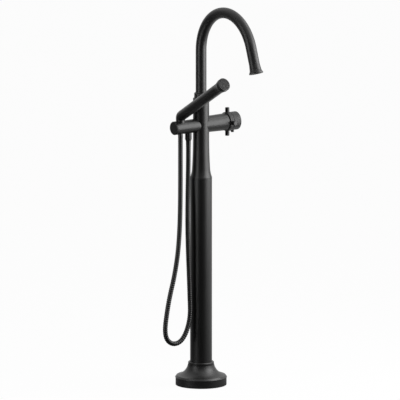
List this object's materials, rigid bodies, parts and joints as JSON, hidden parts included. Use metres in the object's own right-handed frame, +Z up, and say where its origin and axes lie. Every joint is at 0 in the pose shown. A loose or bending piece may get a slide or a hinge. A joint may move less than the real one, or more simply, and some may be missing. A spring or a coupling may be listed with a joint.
{
  "type": "floor standing bath filler",
  "caption": "Matt black floor standing bath filler: round column with a swivelling gooseneck spout, thermostatic valve with pinned handle, and a stick hand shower on a ribbed hose.",
  "frame": {"origin": "on the floor at the centre of the column and of the floor bolt circle", "axes": "+Z up along the column, X along the valve with the handle at +X and the hand shower at -X, spout and hand shower point to -Y"},
  "size_m": [0.2595, 0.3528, 1.0869],
  "materials": {
    "matt_black": "fine matt black powder coat",
    "hose_black": "matt black ribbed metal hose",
    "black_plastic": "matt black moulded plastic",
    "plastic": "plain moulded plastic",
    "rubber": "matt rubber",
    "steel": "plain stainless steel",
    "brass": "turned brass",
    "copper": "drawn copper pipe"
  },
  "bodies": {
    "root": {"floor_flange": "matt_black", "floor_gasket": "rubber", "floor_plate": "steel", "lower_column": "matt_black", "column_screws": "steel", "column_coupling": "brass", "column_joint_ring": "rubber", "upper_body": "matt_black", "mixer_core": "brass", "hot_supply_pipe": "copper", "cold_supply_pipe": "copper", "hot_union_nut": "brass", "cold_union_nut": "brass", "hot_inlet": "brass", "cold_inlet": "brass", "pipe_clamp": "plastic", "riser_tube": "brass", "right_arm": "matt_black", "left_arm": "matt_black", "arm_end_cap": "matt_black", "outlet_nipple": "brass", "outlet_nut": "matt_black", "outlet_washer": "rubber", "check_valve": "plastic", "holder_bush": "black_plastic", "thermostatic_cartridge": "plastic", "cartridge_seals": "rubber", "cartridge_nut": "brass", "swivel_bush": "plastic", "neck_collar": "matt_black", "limit_screw": "steel", "hose": "hose_black"},
    "spout": {"spout_tube": "matt_black", "spout_seals": "rubber", "spout_outlet": "matt_black", "aerator_seal": "rubber", "aerator_housing": "black_plastic", "aerator_screen": "plastic"},
    "flow_handle": {"flow_sleeve": "brass", "handle_ring": "matt_black", "handle_pins": "matt_black"},
    "temperature_control": {"temperature_knob": "matt_black", "knob_cap": "matt_black", "temperature_spindle": "brass", "knob_screw": "steel", "button_spring": "steel"},
    "stop_button": {"safety_button": "black_plastic"},
    "hose_end": {"hose_nut": "matt_black", "hose_washer": "rubber"},
    "hand_shower": {"shower_stick": "matt_black", "shower_elbow": "matt_black", "head_shell": "matt_black", "head_ring": "matt_black", "spray_face": "black_plastic", "spray_mat": "rubber", "water_tube": "plastic", "tube_ring": "plastic"}
  },
  "joints": [
    {"name": "spout_swivel", "type": "hinge", "parent": "root", "child": "spout", "pos_m": [0, 0, 0.8], "axis": [0, 0, 1], "range_deg": [-60, 60]},
    {"name": "flow_turn", "type": "hinge", "parent": "root", "child": "flow_handle", "pos_m": [0.09, 0, 0.738], "axis": [1, 0, 0], "range_deg": [-90, 90]},
    {"name": "temperature_turn", "type": "hinge", "parent": "root", "child": "temperature_control", "pos_m": [0.11, 0, 0.738], "axis": [1, 0, 0], "range_deg": [-150, 60]},
    {"name": "button_press", "type": "slide", "parent": "temperature_control", "child": "stop_button", "axis": [0, 0, 1], "range_m": [0, 0.003], "stiffness_N_per_m": 600, "springref_m": -0.002, "deforming": ["button_spring"]},
    {"name": "hose_lift", "type": "slide", "parent": "root", "child": "hose_end", "axis": [0, 0, 1], "range_m": [0, 0.08], "deforming": ["hose"]},
    {"name": "hand_shower_swing", "type": "hinge", "parent": "hose_end", "child": "hand_shower", "pos_m": [-0.071, 0, 0.76], "axis": [0, 0, 1], "range_deg": [-90, 0]}
  ]
}
